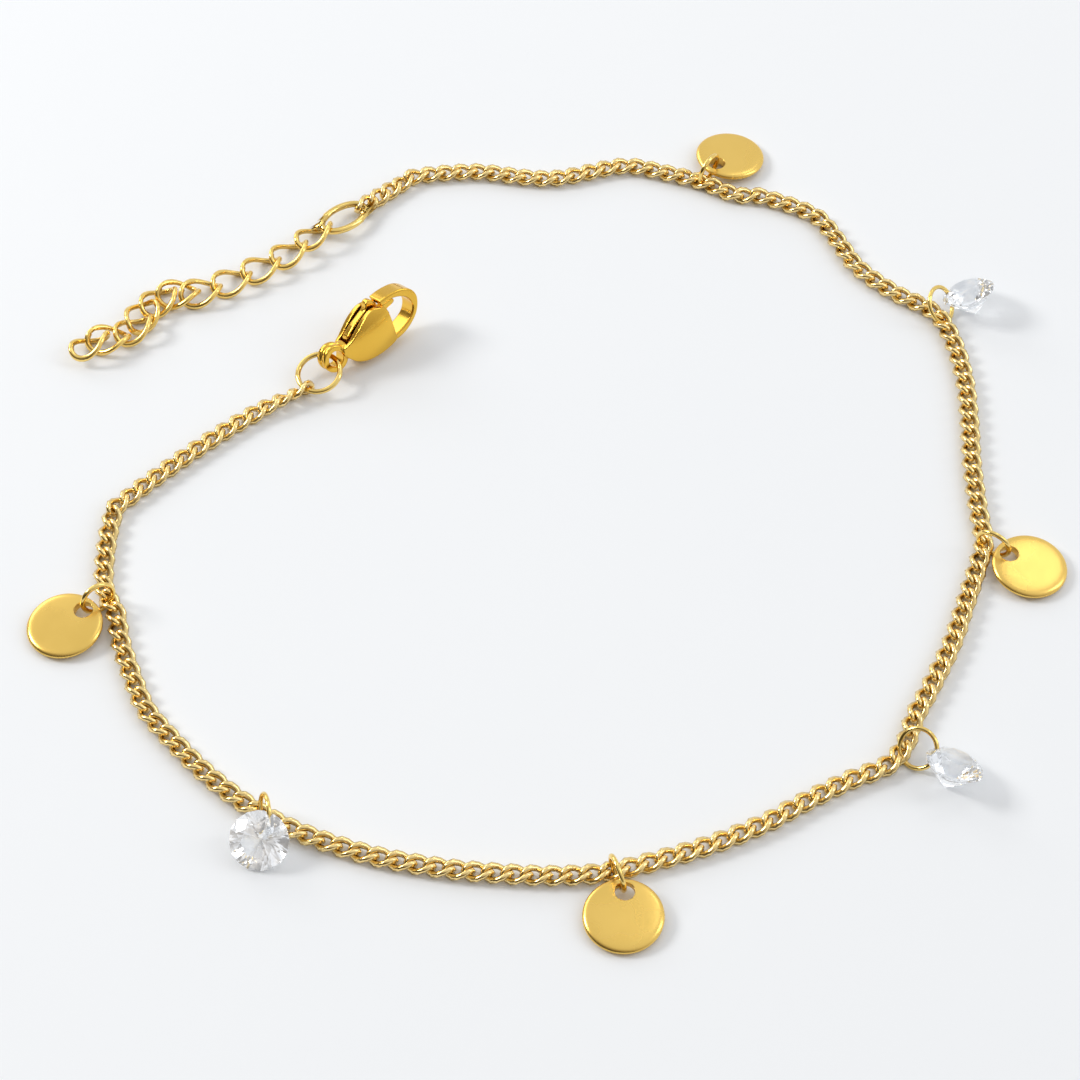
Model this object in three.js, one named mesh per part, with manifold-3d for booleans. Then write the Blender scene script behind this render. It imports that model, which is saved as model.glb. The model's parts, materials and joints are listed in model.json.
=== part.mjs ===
// Charm anklet: a fine curb chain with four flat discs and three drilled stones, a lobster clasp
// at one end and an extender of larger links at the other, lying open on a table.
// Millimetres, +Z up, the origin on the table in the middle of the footprint.

import * as THREE from 'three';
import { mergeVertices } from 'three/addons/utils/BufferGeometryUtils.js';
import Module from 'manifold-3d';

const wasm = await Module();
wasm.setup();

// Driving dimensions of the main chain
const chainLinks = 147;
const chainWidth = 1.75;
const chainThickness = 0.95;
const chainWire = 0.5;
const chainSlack = 0.03;
const endLinkRoll = -58;
const tubeSteps = 78;
const tubeSides = 8;

// Twist from one end of a curb link to the other, in degrees
const linkTwist = -90;

// Discs
const discDiameter = 6;
const discThickness = 0.75;
const discEdgeRadius = 0.14;
const discHoleDiameter = 1.5;
const discHoleMargin = 0.38;
const discTilt = 5;
const discRingPull = 0.22;
const discRingDiameter = 3.05;
const discRingWire = 0.36;
const discRingStandAngle = 95;

// Stones
const stoneDiameter = 4.5;
const stoneTableShare = 0.56;
const stoneCrownAngle = 34;
const stonePavilionAngle = 41;
const stoneGirdle = 0.16;
const stoneHoleOffset = 1.62;
const stoneRingDiameter = 3.4;
const stoneRingWire = 0.34;

// Room round a charm's ring in the chain and in a stone
const ringClearance = 0.13;

// Clasp
const claspLength = 10.2;
const claspWidth = 4;
const claspThickness = 2.6;
const claspHookWidth = 1.75;
const claspHookEdge = 0.18;
const claspHeading = 42;
const claspNoseAngle = 8;
const claspLeanAngle = 22;
const eyeDiameter = 2.4;
const eyeHoleDiameter = 1.4;
const eyeThickness = 1.2;
const eyeGrooveWidth = 0.24;
const eyeGrooveDepth = 0.16;
const collarDiameter = 1.9;
const leverThickness = 0.7;
const leverSideGap = 0.3;
const pinDiameter = 0.5;
const pinClearance = 0.08;
const pinWall = 0.2;
const claspRingDiameter = 4.05;
const claspRingWire = 0.45;
const claspRingHeading = 50;

// Joining ring and extender
const joiningLength = 5;
const joiningWidth = 3.1;
const joiningWire = 0.6;
const joiningHeading = 222;
const extenderLinkLength = 4;
const extenderLinkWidth = 3;
const extenderWire = 0.5;
const interlinkGap = 0.12;

// Sides of round wires and steps round a ring or link
const wireSides = 6;
const ringSteps = 16;
const linkSteps = 14;

// The chain's route on the table, from the clasp's end to the extender's end
const chainRoute = [
  [-20.7, 11.1], [-24.8, 8.5], [-29.0, 4.9], [-32.5, 1.5], [-34.0, -0.1], [-35.0, -1.2],
  [-35.25, -2.7], [-35.4, -4.5], [-35.4, -7.5], [-35.1, -9.8], [-34.1, -11.8], [-33.5, -14.5],
  [-32.5, -17.4], [-31.1, -20.8], [-29.4, -23.1], [-26.3, -26.6], [-23.0, -29.5], [-19.2, -31.9],
  [-13.8, -34.0], [-8.4, -35.2], [-4.0, -35.7], [0.1, -35.9], [4.0, -35.6], [8.3, -34.4],
  [12.2, -33.0], [16.0, -31.2], [18.4, -29.7], [22.1, -27.6], [24.6, -26.5], [25.8, -25.6],
  [26.7, -24.2], [27.7, -21.5], [28.9, -19.2], [31.0, -14.8], [32.4, -10.9], [33.8, -6.9],
  [34.4, -4.7], [34.25, -0.9], [34.2, 3.5], [34.4, 8.0], [34.4, 12.5], [33.8, 16.8],
  [32.5, 20.1], [29.1, 22.6], [26.3, 25.5], [24.7, 28.8], [22.9, 31.7], [18.6, 33.9],
  [16.2, 34.2], [13.2, 35.8], [10.1, 36.9], [6.4, 37.7], [1.0, 36.3], [-2.1, 36.3],
  [-6.5, 37.0], [-11.0, 36.6], [-12.5, 36.0], [-15.1, 33.6], [-16.1, 32.7],
];

// Middle of the footprint, measured in the numbers of the route
const footprintMiddle = [-0.04, -0.28];

// Each charm: the chain link its ring goes through, the way from chain to hole, and from hole to charm
const discTable = [
  { link: 21, ringHeading: 214, charmHeading: 221 },
  { link: 57, ringHeading: 290, charmHeading: 266 },
  { link: 89, ringHeading: 329, charmHeading: 329 },
  { link: 125, ringHeading: 54, charmHeading: 47 },
];
const stoneTable = [
  { link: 38, ringHeading: 283, stand: 78, charmHeading: 240, lean: 40, leanHeading: 262 },
  { link: 74, ringHeading: 318, stand: 48, charmHeading: 318, lean: 30, leanHeading: 57 },
  { link: 106, ringHeading: 62, stand: 52, charmHeading: 350, lean: 32, leanHeading: 130 },
];

// Each extender link: its way from the one before as a share of the taut pitch, heading and roll
const extenderTable = [
  { step: 1, heading: 222, axis: 222, roll: 20 },
  { step: 1, heading: 224, axis: 221, roll: 10 },
  { step: 1, heading: 216, axis: 214, roll: 4 },
  { step: 1, heading: 212, axis: 211, roll: 0 },
  { step: 1, heading: 208, axis: 203, roll: -6 },
  { step: 0.67, heading: 186, axis: 190, roll: -5 },
  { step: 0.61, heading: 204, axis: 228, roll: 0 },
  { step: 0.78, heading: 236, axis: 244, roll: -10 },
  { step: 0.55, heading: 249, axis: 226, roll: 8 },
  { step: 0.82, heading: 209, axis: 190, roll: -5 },
  { step: 0.56, heading: 211, axis: 220, roll: 24 },
];

// Outlines of the clasp: x as a share of the way from eye to nose, y as a share of half its width
const bodyBack = [[0.1, -0.26], [0.16, -0.62], [0.26, -0.88], [0.4, -0.99], [0.56, -1], [0.62, -0.95]];
const bodyTop = [
  [0.655, 0.4], [0.645, 0.66], [0.6, 0.82], [0.54, 0.96], [0.48, 0.98], [0.4, 0.87], [0.3, 0.64],
  [0.2, 0.38], [0.1, 0.22],
];
const domeMiddle = 0.41;
const domeReach = [0.41, 1.95];
const hookOuter = [
  [0.55, -1], [0.7, -0.98], [0.82, -0.8], [0.91, -0.52], [0.965, -0.16],
  [0.985, 0.2], [0.955, 0.58], [0.87, 0.88], [0.74, 1.02], [0.62, 1.03],
];
const hookInner = [
  [0.625, 0.76], [0.7, 0.79], [0.78, 0.72], [0.86, 0.5], [0.905, 0.2],
  [0.905, -0.12], [0.86, -0.42], [0.79, -0.6], [0.68, -0.72], [0.56, -0.74],
];
const leverOutline = [
  [0.2, 0.34], [0.185, 0.05], [0.22, -0.12], [0.27, -0.16], [0.33, -0.08], [0.42, 0.12], [0.55, 0.3],
  [0.68, 0.36], [0.76, 0.4], [0.785, 0.5], [0.765, 0.62], [0.7, 0.67], [0.62, 0.64], [0.6, 0.72],
  [0.597, 0.96], [0.58, 1.16], [0.55, 1.25], [0.51, 1.2], [0.48, 0.98], [0.4, 0.82], [0.3, 0.6],
];
const channelOutline = [
  [0.15, 1.8], [0.15, -0.28], [0.33, -0.3], [0.56, -0.36], [0.7, -0.62], [0.7, 1.8],
];
const pivotPlace = [0.24, 0.25];

// Materials
const gold = new THREE.MeshStandardMaterial({ color: 0xd9aa45, metalness: 1, roughness: 0.22 });
const satinGold = new THREE.MeshStandardMaterial({ color: 0xd8ad55, metalness: 1, roughness: 0.36 });
const crystal = new THREE.MeshStandardMaterial({ color: 0xf2f5f8, metalness: 0, roughness: 0.03 });

const anklet = new THREE.Group();

function addPiece(name, geometry, material) {
  const piece = new THREE.Mesh(geometry, material.clone());
  piece.name = name;
  anklet.add(piece);
  return piece;
}

// Vectors and frames

function heading(degrees, length = 1) {
  const angle = THREE.MathUtils.degToRad(degrees);
  return new THREE.Vector3(Math.cos(angle), Math.sin(angle), 0).multiplyScalar(length);
}

function turned(geometry, matrix) {
  return geometry.clone().applyMatrix4(matrix);
}

function lowest(geometry) {
  geometry.computeBoundingBox();
  return geometry.boundingBox.min.z;
}

// Solids: a geometry becomes a manifold and back, with its shared vertices merged

function toSolid(geometry) {
  const bare = geometry.clone();
  bare.deleteAttribute('normal');
  bare.deleteAttribute('uv');
  const merged = mergeVertices(bare, 1e-5);
  const mesh = new wasm.Mesh({
    numProp: 3,
    vertProperties: new Float32Array(merged.attributes.position.array),
    triVerts: new Uint32Array(merged.index.array),
  });
  return new wasm.Manifold(mesh);
}

function toGeometry(solid) {
  const mesh = solid.getMesh();
  const geometry = new THREE.BufferGeometry();
  geometry.setAttribute('position', new THREE.BufferAttribute(mesh.vertProperties, 3));
  geometry.setIndex(new THREE.BufferAttribute(mesh.triVerts, 1));
  geometry.computeVertexNormals();
  return geometry;
}

// A round wire bent along a closed curve: pointAt gives its middle for a turn from 0 to 1

function closedWire(pointAt, wire, steps) {
  const positions = [];
  const indices = [];
  const axis = new THREE.Vector3();
  for (let i = 0; i < steps; i++) {
    const middle = pointAt(i / steps);
    const along = pointAt((i + 0.01) / steps).sub(pointAt((i - 0.01) / steps)).normalize();
    const outward = middle.clone().addScaledVector(along, -middle.dot(along)).normalize();
    axis.crossVectors(along, outward);
    for (let j = 0; j < wireSides; j++) {
      const angle = (2 * Math.PI * j) / wireSides;
      const point = middle.clone();
      point.addScaledVector(outward, (Math.cos(angle) * wire) / 2);
      point.addScaledVector(axis, (Math.sin(angle) * wire) / 2);
      positions.push(point.x, point.y, point.z);
      const here = i * wireSides;
      const next = ((i + 1) % steps) * wireSides;
      const side = (j + 1) % wireSides;
      indices.push(here + j, next + side, next + j);
      indices.push(here + j, here + side, next + side);
    }
  }
  const geometry = new THREE.BufferGeometry();
  geometry.setAttribute('position', new THREE.Float32BufferAttribute(positions, 3));
  geometry.setIndex(indices);
  geometry.computeVertexNormals();
  return geometry;
}

function ovalRing(length, width, wire, steps = ringSteps) {
  const halfLength = (length - wire) / 2;
  const halfWidth = (width - wire) / 2;
  return closedWire((turn) => {
    const angle = 2 * Math.PI * turn;
    return new THREE.Vector3(halfLength * Math.cos(angle), halfWidth * Math.sin(angle), 0);
  }, wire, steps);
}

// A curb link: an oval of wire whose two ends are turned against each other

function curbLink(length, width, wire) {
  const halfLength = (length - wire) / 2;
  const halfWidth = (width - wire) / 2;
  return closedWire((turn) => {
    const angle = 2 * Math.PI * turn;
    const x = halfLength * Math.cos(angle);
    const y = halfWidth * Math.sin(angle);
    const twist = THREE.MathUtils.degToRad((linkTwist / 2) * Math.cos(angle));
    return new THREE.Vector3(x, y * Math.cos(twist), y * Math.sin(twist));
  }, wire, linkSteps);
}

// The chain's route as a curve, and the place and way of any of its links

const chainMiddle = chainThickness / 2;
const route = new THREE.CatmullRomCurve3(
  chainRoute.map(([x, y]) => new THREE.Vector3(x - footprintMiddle[0], y - footprintMiddle[1], chainMiddle)),
  false,
  'catmullrom',
);
route.arcLengthDivisions = 2000;
const routeLength = route.getLength();
const linkSpacing = routeLength / (chainLinks - 1);
const chainLinkLength = linkSpacing + 2 * chainWire + chainSlack;

function linkPlace(number) {
  return route.getPointAt((number - 1) / (chainLinks - 1));
}

function linkWay(number) {
  return route.getTangentAt((number - 1) / (chainLinks - 1)).setZ(0).normalize();
}

// A ring that stands on the table and goes through the chain at one link and through a hole

function standingRing(row, diameter, wire, standAngle, holeHeight) {
  const middleRadius = (diameter - wire) / 2;
  const stand = THREE.MathUtils.degToRad(standAngle);
  const way = heading(row.ringHeading);
  const rise = new THREE.Vector3(-way.y * Math.cos(stand), way.x * Math.cos(stand), Math.sin(stand));
  const centreHeight = middleRadius * Math.sin(stand) + wire / 2;
  const reachAt = (height) => {
    const up = (height - centreHeight) / Math.sin(stand);
    return { up, out: Math.sqrt(middleRadius * middleRadius - up * up) };
  };
  const atChain = reachAt(chainMiddle);
  const atHole = reachAt(holeHeight);
  const centre = linkPlace(row.link);
  centre.addScaledVector(way, atChain.out).addScaledVector(rise, -atChain.up).setZ(centreHeight);
  const matrix = new THREE.Matrix4().makeBasis(way, rise, way.clone().cross(rise)).setPosition(centre);
  const hole = centre.clone().addScaledVector(way, atHole.out).addScaledVector(rise, atHole.up);
  const ring = turned(ovalRing(diameter, diameter, wire), matrix);
  const roomWire = wire + 2 * ringClearance;
  const roomSize = diameter + 2 * ringClearance;
  const room = turned(ovalRing(roomSize, roomSize, roomWire), matrix);
  return { ring, room, hole };
}

// Discs

const discHoleOffset = (discDiameter - discHoleDiameter) / 2 - discHoleMargin;

function discGeometry() {
  const outline = new THREE.Shape();
  outline.absarc(0, 0, discDiameter / 2 - discEdgeRadius, 0, 2 * Math.PI);
  const hole = new THREE.Path();
  hole.absarc(-discHoleOffset, 0, discHoleDiameter / 2 + discEdgeRadius, 0, 2 * Math.PI, true);
  outline.holes.push(hole);
  const geometry = new THREE.ExtrudeGeometry(outline, {
    depth: discThickness - 2 * discEdgeRadius,
    curveSegments: 16,
    bevelEnabled: true,
    bevelSegments: 2,
    bevelSize: discEdgeRadius,
    bevelThickness: discEdgeRadius,
  });
  return geometry.translate(0, 0, discEdgeRadius - discThickness / 2);
}

const ringRooms = [];

discTable.forEach((row, index) => {
  const tilt = THREE.MathUtils.degToRad(discTilt);
  const height = (discDiameter / 2) * Math.sin(tilt) + (discThickness / 2) * Math.cos(tilt);
  const holeHeight = height + discHoleOffset * Math.sin(tilt);
  const { ring, room, hole } = standingRing(
    row, discRingDiameter, discRingWire, discRingStandAngle, holeHeight,
  );
  hole.add(heading(row.ringHeading, discRingPull));
  const place = hole.add(heading(row.charmHeading, discHoleOffset * Math.cos(tilt))).setZ(height);
  const matrix = new THREE.Matrix4().makeRotationZ(THREE.MathUtils.degToRad(row.charmHeading));
  matrix.multiply(new THREE.Matrix4().makeRotationY(tilt)).setPosition(place);
  addPiece(`disc_${index + 1}`, turned(discGeometry(), matrix), satinGold);
  addPiece(`disc_ring_${index + 1}`, ring, gold);
  ringRooms.push(room);
});

// Stones: a round brilliant with table, star, kite, girdle and pavilion facets, culet down

function brilliant() {
  const radius = stoneDiameter / 2;
  const tableRadius = radius * stoneTableShare;
  const crown = (radius - tableRadius) * Math.tan(THREE.MathUtils.degToRad(stoneCrownAngle));
  const pavilion = radius * Math.tan(THREE.MathUtils.degToRad(stonePavilionAngle));
  const topOfGirdle = stoneGirdle / 2;
  const starRadius = (radius + tableRadius) / 2;
  const starHeight = topOfGirdle + crown * 0.62;
  const lowerRadius = radius * 0.24;
  const lowerHeight = -topOfGirdle - pavilion * 0.79;
  const points = [];
  const ringOf = (count, ringRadius, height, offset) => {
    const first = points.length;
    for (let i = 0; i < count; i++) {
      const angle = ((i + offset) * 2 * Math.PI) / count;
      points.push([ringRadius * Math.cos(angle), ringRadius * Math.sin(angle), height]);
    }
    return (i) => first + (((i % count) + count) % count);
  };
  const table = ringOf(8, tableRadius, topOfGirdle + crown, 0);
  const star = ringOf(8, starRadius, starHeight, 0.5);
  const girdleTop = ringOf(16, radius, topOfGirdle, 0);
  const girdleLow = ringOf(16, radius, -topOfGirdle, 0);
  const lower = ringOf(8, lowerRadius, lowerHeight, 0.5);
  const culet = points.length;
  points.push([0, 0, -topOfGirdle - pavilion]);
  const faces = [];
  for (let i = 1; i < 7; i++) {
    faces.push([table(0), table(i), table(i + 1)]);
  }
  for (let i = 0; i < 8; i++) {
    faces.push([table(i), star(i), table(i + 1)]);
    faces.push([table(i), star(i - 1), girdleTop(2 * i)], [table(i), girdleTop(2 * i), star(i)]);
    faces.push([star(i), girdleTop(2 * i), girdleTop(2 * i + 1)]);
    faces.push([star(i), girdleTop(2 * i + 1), girdleTop(2 * i + 2)]);
    faces.push([lower(i), girdleLow(2 * i + 1), girdleLow(2 * i)]);
    faces.push([lower(i), girdleLow(2 * i + 2), girdleLow(2 * i + 1)]);
    faces.push([lower(i - 1), lower(i), girdleLow(2 * i)], [culet, lower(i), lower(i - 1)]);
  }
  for (let i = 0; i < 16; i++) {
    faces.push([girdleTop(i), girdleLow(i), girdleLow(i + 1)]);
    faces.push([girdleTop(i), girdleLow(i + 1), girdleTop(i + 1)]);
  }
  const geometry = new THREE.BufferGeometry();
  geometry.setAttribute('position', new THREE.Float32BufferAttribute(points.flat(), 3));
  geometry.setIndex(faces.flat());
  return geometry;
}

stoneTable.forEach((row, index) => {
  const leanAxis = heading(row.leanHeading + 90);
  const lean = new THREE.Matrix4().makeRotationAxis(leanAxis, THREE.MathUtils.degToRad(row.lean));
  const leaning = turned(brilliant(), lean);
  const height = -lowest(leaning);
  const toCentre = heading(row.charmHeading, stoneHoleOffset).applyMatrix4(lean);
  const holeHeight = height - toCentre.z;
  const { ring, room, hole } = standingRing(row, stoneRingDiameter, stoneRingWire, row.stand, holeHeight);
  const place = hole.add(toCentre);
  leaning.translate(place.x, place.y, height);
  const drilled = toSolid(leaning).subtract(toSolid(room));
  addPiece(`stone_${index + 1}`, toGeometry(drilled), crystal);
  addPiece(`stone_ring_${index + 1}`, ring, gold);
  ringRooms.push(room);
});

// Main chain: a flat tube along the route, a real link at each end, and room for the charms' rings

function endLinkSolid(number, side) {
  const link = curbLink(chainLinkLength, chainWidth, chainWire);
  link.rotateX(THREE.MathUtils.degToRad(side * endLinkRoll));
  const way = linkWay(number);
  const across = new THREE.Vector3(-way.y, way.x, 0);
  const turn = new THREE.Matrix4().makeBasis(way, across, new THREE.Vector3(0, 0, 1));
  const height = -lowest(link);
  link.applyMatrix4(turn.setPosition(linkPlace(number).setZ(height)));
  return { solid: toSolid(link), height };
}

function chainTube() {
  const first = 1.5;
  const last = chainLinks - 0.5;
  const stations = [];
  for (let i = 0; i <= tubeSteps; i++) {
    stations.push(linkPlace(first + ((last - first) * i) / tubeSteps));
  }
  const section = new THREE.Shape();
  for (let i = 0; i < tubeSides; i++) {
    const angle = ((i + 0.5) * 2 * Math.PI) / tubeSides;
    const grow = 0.5 / Math.cos(Math.PI / tubeSides);
    const point = [chainThickness * grow * Math.cos(angle), chainWidth * grow * Math.sin(angle)];
    section[i === 0 ? 'moveTo' : 'lineTo'](...point);
  }
  section.closePath();
  const path = new THREE.CatmullRomCurve3(stations);
  return new THREE.ExtrudeGeometry(section, { steps: tubeSteps, extrudePath: path, bevelEnabled: false });
}

const claspEnd = endLinkSolid(1, -1);
const extenderEnd = endLinkSolid(chainLinks, 1);
let chainSolid = toSolid(chainTube()).add(claspEnd.solid).add(extenderEnd.solid);
for (const room of ringRooms) {
  chainSolid = chainSolid.subtract(toSolid(room));
}
addPiece('chain', toGeometry(chainSolid), gold);

// How far from an end link's middle a ring's wire lies in its eye

function eyeReach(linkLength, linkWire, ringWire) {
  return linkLength / 2 - linkWire - ringWire / 2 - interlinkGap;
}

// Clasp, laid out in its own plane: x from the eye to the nose, y from the back to the lever

const noseReach = claspLength - eyeDiameter / 2;
const halfWidth = claspWidth / 2;

function claspPoint([x, y]) {
  return new THREE.Vector2(x * noseReach, y * halfWidth);
}

function claspShape(points) {
  return new THREE.Shape(points);
}

function extruded(shape, thickness, edge = 0) {
  const geometry = new THREE.ExtrudeGeometry(shape, {
    depth: thickness - 2 * edge,
    curveSegments: 8,
    bevelEnabled: edge > 0,
    bevelSegments: 1,
    bevelSize: edge,
    bevelOffset: -edge,
    bevelThickness: edge,
  });
  return geometry.translate(0, 0, edge - thickness / 2);
}

function smooth(points, divisions) {
  return new THREE.SplineCurve(points.map(claspPoint)).getPoints(divisions);
}

function cylinderAcross(diameter, length, x, y, sides = 12) {
  const cylinder = new THREE.CylinderGeometry(diameter / 2, diameter / 2, length, sides);
  return cylinder.rotateX(Math.PI / 2).translate(x, y, 0);
}

function claspBody() {
  const cheekShape = claspShape([...smooth(bodyBack, 9), ...smooth(bodyTop, 12)]);
  const cheeks = toSolid(extruded(cheekShape, claspThickness));
  const dome = new THREE.SphereGeometry(1, 20, 14);
  dome.scale(domeReach[0] * noseReach, domeReach[1] * halfWidth, claspThickness / 2);
  dome.translate(domeMiddle * noseReach, 0, 0);
  const hook = claspShape([...smooth(hookOuter, 18), ...smooth(hookInner, 16)]);
  const collar = new THREE.LatheGeometry(
    [
      [0, 0], [0.9, 0], [0.86, 0.4], [0.94, 0.7], [1, 1], [0, 1],
    ].map(([r, x]) => new THREE.Vector2((r * collarDiameter) / 2, x * collarDiameter * 0.8)),
    12,
  );
  collar.rotateZ(-Math.PI / 2).translate(eyeDiameter * 0.34, 0, 0);
  const eye = cylinderAcross(eyeDiameter, eyeThickness, 0, 0, 16);
  const eyeGroove = cylinderAcross(2 * eyeDiameter, eyeGrooveWidth, 0, 0, 16);
  const eyeCore = cylinderAcross(eyeDiameter - 2 * eyeGrooveDepth, eyeThickness, 0, 0, 16);
  const eyeHole = cylinderAcross(eyeHoleDiameter, 2 * eyeThickness, 0, 0, 12);
  const channelWidth = leverThickness + 2 * leverSideGap;
  const channel = extruded(claspShape(channelOutline.map(claspPoint)), channelWidth);
  const pivot = claspPoint(pivotPlace);
  const pin = cylinderAcross(pinDiameter, claspThickness * 0.7, pivot.x, pivot.y);
  return cheeks
    .intersect(toSolid(dome))
    .add(toSolid(collar))
    .add(toSolid(eye).subtract(toSolid(eyeGroove)))
    .add(toSolid(eyeCore))
    .subtract(toSolid(eyeHole))
    .subtract(toSolid(channel))
    .add(toSolid(extruded(hook, claspHookWidth, claspHookEdge)))
    .add(toSolid(pin));
}

function claspLever() {
  const pivot = claspPoint(pivotPlace);
  const boreDiameter = pinDiameter + 2 * pinClearance;
  const bore = cylinderAcross(boreDiameter, 2 * leverThickness, pivot.x, pivot.y);
  const boss = cylinderAcross(boreDiameter + 2 * pinWall, leverThickness, pivot.x, pivot.y, 16);
  const bar = extruded(claspShape(leverOutline.map(claspPoint)), leverThickness);
  return toSolid(bar).add(toSolid(boss)).subtract(toSolid(bore));
}

function basis(headingDegrees, noseUpDegrees, leanDegrees) {
  const up = THREE.MathUtils.degToRad(noseUpDegrees);
  const along = heading(headingDegrees, Math.cos(up)).setZ(Math.sin(up));
  const rise = heading(headingDegrees, -Math.sin(up)).setZ(Math.cos(up));
  rise.applyAxisAngle(along, THREE.MathUtils.degToRad(-leanDegrees));
  return new THREE.Matrix4().makeBasis(along, rise, along.clone().cross(rise));
}

const claspTurn = basis(claspHeading, claspNoseAngle, claspLeanAngle);
const bodyGeometry = toGeometry(claspBody());
const leverGeometry = toGeometry(claspLever());
const eyeHeight = -lowest(turned(bodyGeometry, claspTurn));

// The clasp's ring leans from the chain's end link up to the eye

function ringBetween(start, end, width, wire, length) {
  const along = end.clone().sub(start).normalize();
  const across = new THREE.Vector3(-along.y, along.x, 0).normalize();
  const matrix = new THREE.Matrix4().makeBasis(along, across, along.clone().cross(across));
  matrix.setPosition(start.clone().add(end).multiplyScalar(0.5));
  return turned(ovalRing(length, width, wire), matrix);
}

function spanEnd(start, headingDegrees, span, endHeight) {
  const rise = endHeight - start.z;
  return start.clone().add(heading(headingDegrees, Math.sqrt(span * span - rise * rise))).setZ(endHeight);
}

const claspRingStart = linkPlace(1)
  .addScaledVector(linkWay(1), -eyeReach(chainLinkLength, chainWire, claspRingWire))
  .setZ(claspEnd.height);
const eyePlace = spanEnd(claspRingStart, claspRingHeading, claspRingDiameter - claspRingWire, eyeHeight);
const claspRing = ringBetween(
  claspRingStart, eyePlace, claspRingDiameter, claspRingWire, claspRingDiameter,
);
addPiece('clasp_ring', claspRing, gold);
claspTurn.setPosition(eyePlace);
addPiece('clasp_body', turned(bodyGeometry, claspTurn), gold);
addPiece('clasp_lever', turned(leverGeometry, claspTurn), gold);

// Extender: every link lies on the table, one hooked into the next

const extenderPitch = extenderLinkLength - 2 * extenderWire - interlinkGap;

function extenderLink(row) {
  const link = curbLink(extenderLinkLength, extenderLinkWidth, extenderWire);
  link.rotateX(THREE.MathUtils.degToRad(row.roll));
  link.rotateZ(THREE.MathUtils.degToRad(row.axis));
  return link;
}

const joiningStart = linkPlace(chainLinks)
  .addScaledVector(linkWay(chainLinks), eyeReach(chainLinkLength, chainWire, joiningWire))
  .setZ(extenderEnd.height);
const firstLink = extenderLink(extenderTable[0]);
const joiningEnd = spanEnd(joiningStart, joiningHeading, joiningLength - joiningWire, -lowest(firstLink));
const joiningRing = ringBetween(joiningStart, joiningEnd, joiningWidth, joiningWire, joiningLength);
addPiece('joining_ring', joiningRing, gold);

const place = joiningEnd.clone();
extenderTable.forEach((row, index) => {
  const first = index === 0;
  const step = first ? eyeReach(extenderLinkLength, extenderWire, joiningWire) : extenderPitch * row.step;
  place.add(heading(row.heading, step));
  const link = extenderLink(row);
  link.translate(place.x, place.y, -lowest(link));
  addPiece(`extender_link_${String(index + 1).padStart(2, '0')}`, link, gold);
});

export default anklet;
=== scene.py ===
import json
import math

import bpy
import numpy
from mathutils import Matrix, Vector


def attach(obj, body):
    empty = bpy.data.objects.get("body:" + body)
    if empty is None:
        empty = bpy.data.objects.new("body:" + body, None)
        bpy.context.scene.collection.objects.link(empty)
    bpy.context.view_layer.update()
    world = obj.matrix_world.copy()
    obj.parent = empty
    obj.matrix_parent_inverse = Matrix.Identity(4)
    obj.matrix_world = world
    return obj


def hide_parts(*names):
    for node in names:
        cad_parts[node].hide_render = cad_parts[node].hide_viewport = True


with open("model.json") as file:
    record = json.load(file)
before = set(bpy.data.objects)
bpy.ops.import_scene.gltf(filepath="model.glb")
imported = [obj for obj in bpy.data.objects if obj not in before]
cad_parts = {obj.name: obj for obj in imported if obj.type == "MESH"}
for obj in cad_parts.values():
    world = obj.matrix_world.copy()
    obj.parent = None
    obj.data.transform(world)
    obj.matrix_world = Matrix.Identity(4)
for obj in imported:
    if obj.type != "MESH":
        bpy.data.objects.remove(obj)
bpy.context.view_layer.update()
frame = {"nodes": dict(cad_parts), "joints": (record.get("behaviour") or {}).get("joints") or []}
mm = 0.001  # pieces are modelled with one unit for a millimetre, then brought to metres
starterSize = 0.1  # a small plane that is cut back to one corner, where a drawn line starts
mergeWithin = 0.0005  # doubled points closer than this become one


# Small helpers for modelling

def clearSelection():
    if bpy.context.object and bpy.context.object.mode != "OBJECT":
        bpy.ops.object.mode_set(mode="OBJECT")
    bpy.ops.object.select_all(action="DESELECT")


def choose(*pieces):
    clearSelection()
    for piece in pieces:
        piece.select_set(True)
    bpy.context.view_layer.objects.active = pieces[0]


# Goes into edit mode with only the points or edges selected that pass the test
def editSelect(piece, kind, test):  # kind is VERT or EDGE
    choose(piece)
    bpy.ops.object.mode_set(mode="EDIT")
    bpy.ops.mesh.select_mode(type=kind)
    bpy.ops.mesh.select_all(action="DESELECT")
    bpy.ops.object.mode_set(mode="OBJECT")
    items = {"VERT": piece.data.vertices, "EDGE": piece.data.edges}[kind]
    for item in items:
        item.select = test(item)
    bpy.ops.object.mode_set(mode="EDIT")


def editDone():
    bpy.ops.object.mode_set(mode="OBJECT")


def applyModifier(piece, name, kind, **settings):
    choose(piece)
    modifier = piece.modifiers.new(name, kind)
    for key, value in settings.items():
        setattr(modifier, key, value)
    bpy.ops.object.modifier_apply(modifier=modifier.name)


def cut(piece, tool, operation="DIFFERENCE"):
    applyModifier(piece, "cut", "BOOLEAN", operation=operation, object=tool, solver="EXACT")
    bpy.data.objects.remove(tool)


def joinAll(pieces):
    choose(*pieces)
    bpy.ops.object.join()
    return bpy.context.object


def copyOf(piece):
    item = piece.copy()
    item.data = piece.data.copy()
    bpy.context.scene.collection.objects.link(item)
    return item


def smoothAll(piece, sharpFrom=None):  # edges that turn by more than this many degrees stay sharp
    choose(piece)
    bpy.ops.object.shade_smooth()
    if sharpFrom:
        bpy.ops.object.shade_smooth_by_angle(angle=math.radians(sharpFrom))


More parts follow.
